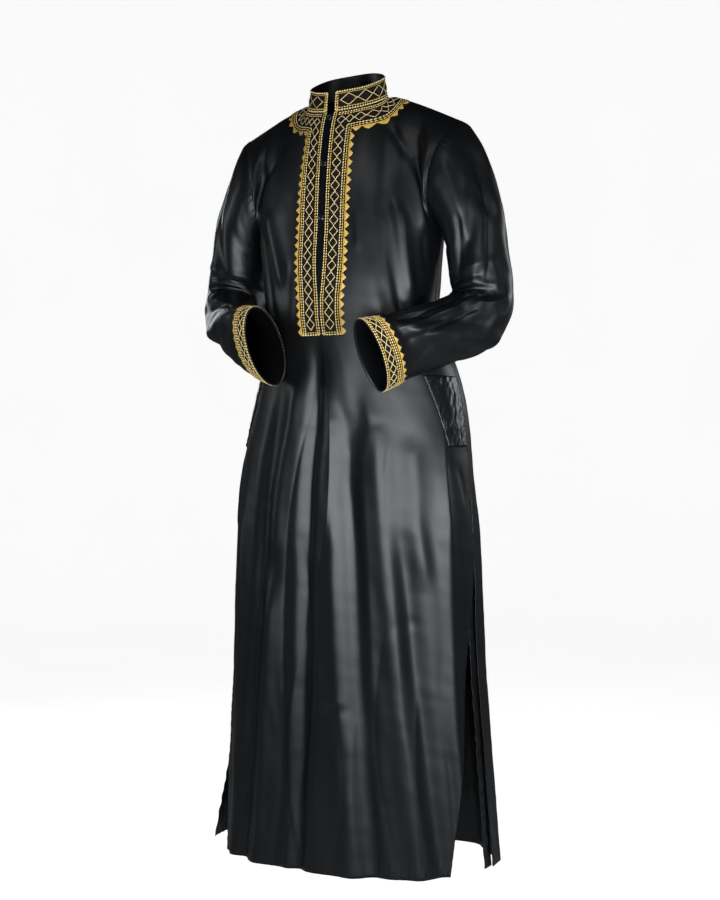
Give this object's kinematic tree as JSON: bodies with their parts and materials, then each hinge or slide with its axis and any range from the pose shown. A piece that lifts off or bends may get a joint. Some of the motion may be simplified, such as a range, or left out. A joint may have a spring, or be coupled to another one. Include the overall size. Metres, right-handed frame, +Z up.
{
  "type": "qamis",
  "caption": "Ankle-length black satin qamis with a gold-embroidered stand collar, placket and cuffs, worn shape with bent sleeves and open side vents.",
  "frame": {"origin": "middle of the neck's base, where the wearer's shoulders carry the garment", "axes": "+Z up along the garment, -Y its front, +X the wearer's left"},
  "size_m": [0.5921, 0.4242, 1.378],
  "materials": {
    "satin": "black satin, cool grey sheen",
    "satin_facing": "black satin facing, puckered along its stitching",
    "embroidery": "gold and cream thread embroidered on near-black ground",
    "button": "black, glossy, domed"
  },
  "bodies": {
    "root": {"front_yoke_left": "satin", "front_yoke_right": "satin", "front_chest": "satin", "front_waist": "satin", "front_skirt": "satin", "front_hem": "satin", "back_yoke": "satin", "back_chest": "satin", "back_waist": "satin", "back_skirt": "satin", "back_hem": "satin", "sleeve_left_upper": "satin", "sleeve_left_elbow": "satin", "sleeve_left_fore": "satin", "sleeve_right_upper": "satin", "sleeve_right_elbow": "satin", "sleeve_right_fore": "satin", "stand_collar": "embroidery", "neck_band": "embroidery", "placket_left": "embroidery", "placket_right": "embroidery", "placket_fly": "satin", "cuff_band_left": "embroidery", "cuff_band_right": "embroidery", "pocket_left": "satin_facing", "pocket_right": "satin_facing", "vent_facing_left": "satin_facing", "vent_facing_right": "satin_facing", "button_1": "button", "button_2": "button", "button_3": "button"}
  },
  "joints": []
}
